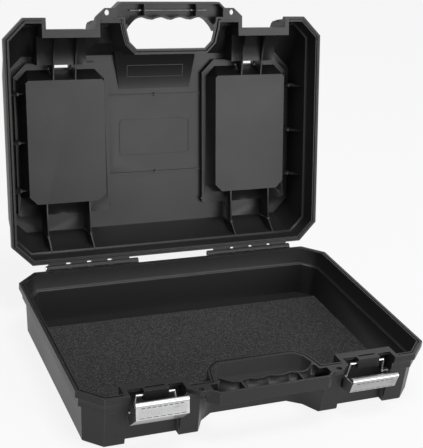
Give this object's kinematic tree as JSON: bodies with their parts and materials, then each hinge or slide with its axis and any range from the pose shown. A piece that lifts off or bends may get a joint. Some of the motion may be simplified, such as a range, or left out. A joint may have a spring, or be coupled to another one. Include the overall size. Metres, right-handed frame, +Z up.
{
  "type": "tool case",
  "caption": "Hard black plastic tool case, open, with a hinged lid, metal draw latches, half handles that meet when shut, and covered organiser wells in the lid.",
  "frame": {"origin": "centre of the base's flat underside, midway between the outer faces of the rim band", "axes": "+X to the right as seen from the handle side, -Y towards the handle, +Z up; the lid is held open"},
  "size_m": [0.428, 0.4556, 0.394],
  "materials": {
    "shell": "fine grain, satin black",
    "pad": "speckled charcoal foam",
    "cover": "fine grain, satin black",
    "divider": "smooth dark grey",
    "pin": "bright zinc plate",
    "latch": "pressed sheet, bright zinc plate with fine cross lines"
  },
  "bodies": {
    "base": {"base_shell": "shell", "foam_pad": "pad", "hinge_pin_left": "pin", "hinge_pin_right": "pin"},
    "lid": {"lid_shell": "shell", "organizer_hinge_pin_left": "pin", "organizer_hinge_pin_right": "pin", "organizer_divider_left_front": "divider", "organizer_divider_left_back": "divider", "organizer_divider_right_front": "divider", "organizer_divider_right_back": "divider"},
    "bail_left": {"latch_bail_left": "pin"},
    "bail_right": {"latch_bail_right": "pin"},
    "lever_left": {"latch_lever_left": "latch"},
    "lever_right": {"latch_lever_right": "latch"},
    "cover_left": {"organizer_cover_left": "cover"},
    "cover_right": {"organizer_cover_right": "cover"},
    "catch_left": {"organizer_catch_left": "divider"},
    "catch_right": {"organizer_catch_right": "divider"}
  },
  "joints": [
    {"name": "lid_hinge", "type": "hinge", "parent": "base", "child": "lid", "pos_m": [0, 0.1598, 0.068], "axis": [1, 0, 0], "range_deg": [0, 101.6]},
    {"name": "bail_left", "type": "hinge", "parent": "base", "child": "bail_left", "pos_m": [-0.13, -0.1445, 0.061], "axis": [-1, 0, 0], "range_deg": [0, 177]},
    {"name": "lever_left", "type": "hinge", "parent": "bail_left", "child": "lever_left", "pos_m": [-0.13, -0.14814, 0.04388], "axis": [1, 0, 0], "range_deg": [0, 127]},
    {"name": "cover_left", "type": "hinge", "parent": "lid", "child": "cover_left", "pos_m": [-0.1285, 0.23914, 0.11735], "axis": [-1, 0, 0], "range_deg": [0, 90]},
    {"name": "catch_left", "type": "slide", "parent": "cover_left", "child": "catch_left", "axis": [0, 0.2011, 0.9796], "range_m": [0, 0.006]},
    {"name": "bail_right", "type": "hinge", "parent": "base", "child": "bail_right", "pos_m": [0.13, -0.1445, 0.061], "axis": [-1, 0, 0], "range_deg": [0, 197]},
    {"name": "lever_right", "type": "hinge", "parent": "bail_right", "child": "lever_right", "pos_m": [0.13, -0.14206, 0.04367], "axis": [1, 0, 0], "range_deg": [0, 117]},
    {"name": "cover_right", "type": "hinge", "parent": "lid", "child": "cover_right", "pos_m": [0.1285, 0.23914, 0.11735], "axis": [-1, 0, 0], "range_deg": [0, 90]},
    {"name": "catch_right", "type": "slide", "parent": "cover_right", "child": "catch_right", "axis": [0, 0.2011, 0.9796], "range_m": [0, 0.006]}
  ],
  "couplings": [
    {"joint": "lever_left", "follows": "bail_left", "ratio": 0.71751},
    {"joint": "lever_right", "follows": "bail_right", "ratio": 0.59391}
  ]
}
